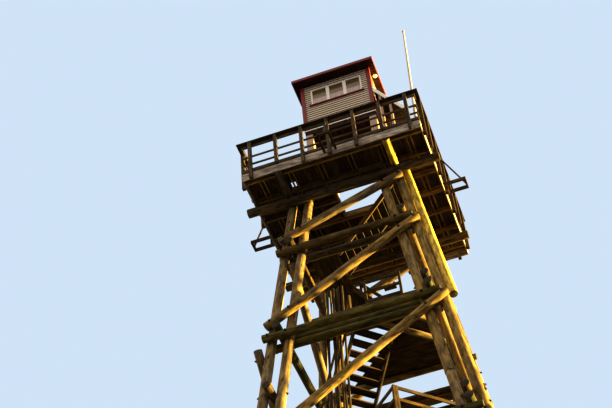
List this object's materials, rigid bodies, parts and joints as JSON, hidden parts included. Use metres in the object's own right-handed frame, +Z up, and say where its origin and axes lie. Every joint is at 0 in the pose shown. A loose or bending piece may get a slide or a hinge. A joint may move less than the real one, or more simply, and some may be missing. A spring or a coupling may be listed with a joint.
{
  "type": "log observation tower",
  "caption": "Tall braced log tower on four paired leaning legs, with inner stairs, a railed deck and a small windowed watch cabin raised on posts.",
  "frame": {"origin": "on the ground at the middle of the four legs", "axes": "+X to the right along the front face, +Y from the front to the rear, +Z up"},
  "size_m": [9.8348, 9.5082, 32.43],
  "materials": {
    "peeled_log": "peeled round logs, weathered, with drying cracks",
    "thin_pole": "thin peeled poles, weathered grey-brown",
    "sawn_timber": "rough sawn, weathered brown",
    "dark_board": "rough sawn boards, dark stained",
    "grey_board": "sawn boards, weathered grey",
    "cladding": "narrow boards painted grey-beige, matte",
    "cabin_timber": "planed timber, pale pinkish paint, matte",
    "red_trim": "painted dark red-brown, matte",
    "white_paint": "painted off-white, satin",
    "door_paint": "boarded, painted red-brown",
    "roofing": "folded sheet, dark red, satin",
    "window_glass": "clear, slightly dusty",
    "pole_paint": "white, satin",
    "lamp_glass": "opal white"
  },
  "bodies": {
    "root": {"leg_front_left": "peeled_log", "leg_front_right": "peeled_log", "leg_rear_left": "peeled_log", "leg_rear_right": "peeled_log", "lap_log": "peeled_log", "front_cross_logs": "peeled_log", "rear_cross_logs": "peeled_log", "inner_cross_logs": "peeled_log", "upper_inner_logs": "peeled_log", "mid_cross_logs": "peeled_log", "left_side_logs": "peeled_log", "right_side_logs": "peeled_log", "face_braces": "peeled_log", "side_braces": "peeled_log", "landing_bearers": "peeled_log", "rest_floor_bearers": "peeled_log", "rest_floor_kerb": "peeled_log", "deck_logs": "peeled_log", "deck_bearers": "peeled_log", "pole_bundle": "thin_pole", "lower_strings": "sawn_timber", "upper_strings": "sawn_timber", "lower_treads": "sawn_timber", "upper_treads": "sawn_timber", "landing_rails": "sawn_timber", "flight_rails": "sawn_timber", "landing_floors": "sawn_timber", "rest_floor": "sawn_timber", "top_landing": "sawn_timber", "deck_floor": "dark_board", "deck_joists": "dark_board", "handrail_caps": "dark_board", "outriggers": "dark_board", "deck_fascia": "grey_board", "railing_front": "grey_board", "railing_rear": "grey_board", "railing_left": "grey_board", "railing_right": "grey_board", "cabin_front_wall": "cladding", "cabin_rear_wall": "cladding", "cabin_left_wall": "cladding", "cabin_right_wall": "cladding", "cabin_posts": "cabin_timber", "cabin_floor": "red_trim", "corner_boards": "red_trim", "roof_fascia": "red_trim", "hood_boards": "red_trim", "window_frames": "white_paint", "door_frame": "white_paint", "cabin_base_trim": "white_paint", "hood_verges": "white_paint", "hood_posts": "white_paint", "cabin_door": "door_paint", "roof": "roofing", "window_glazing": "window_glass", "flagpole": "pole_paint", "soffit_lamp": "lamp_glass"}
  },
  "joints": []
}
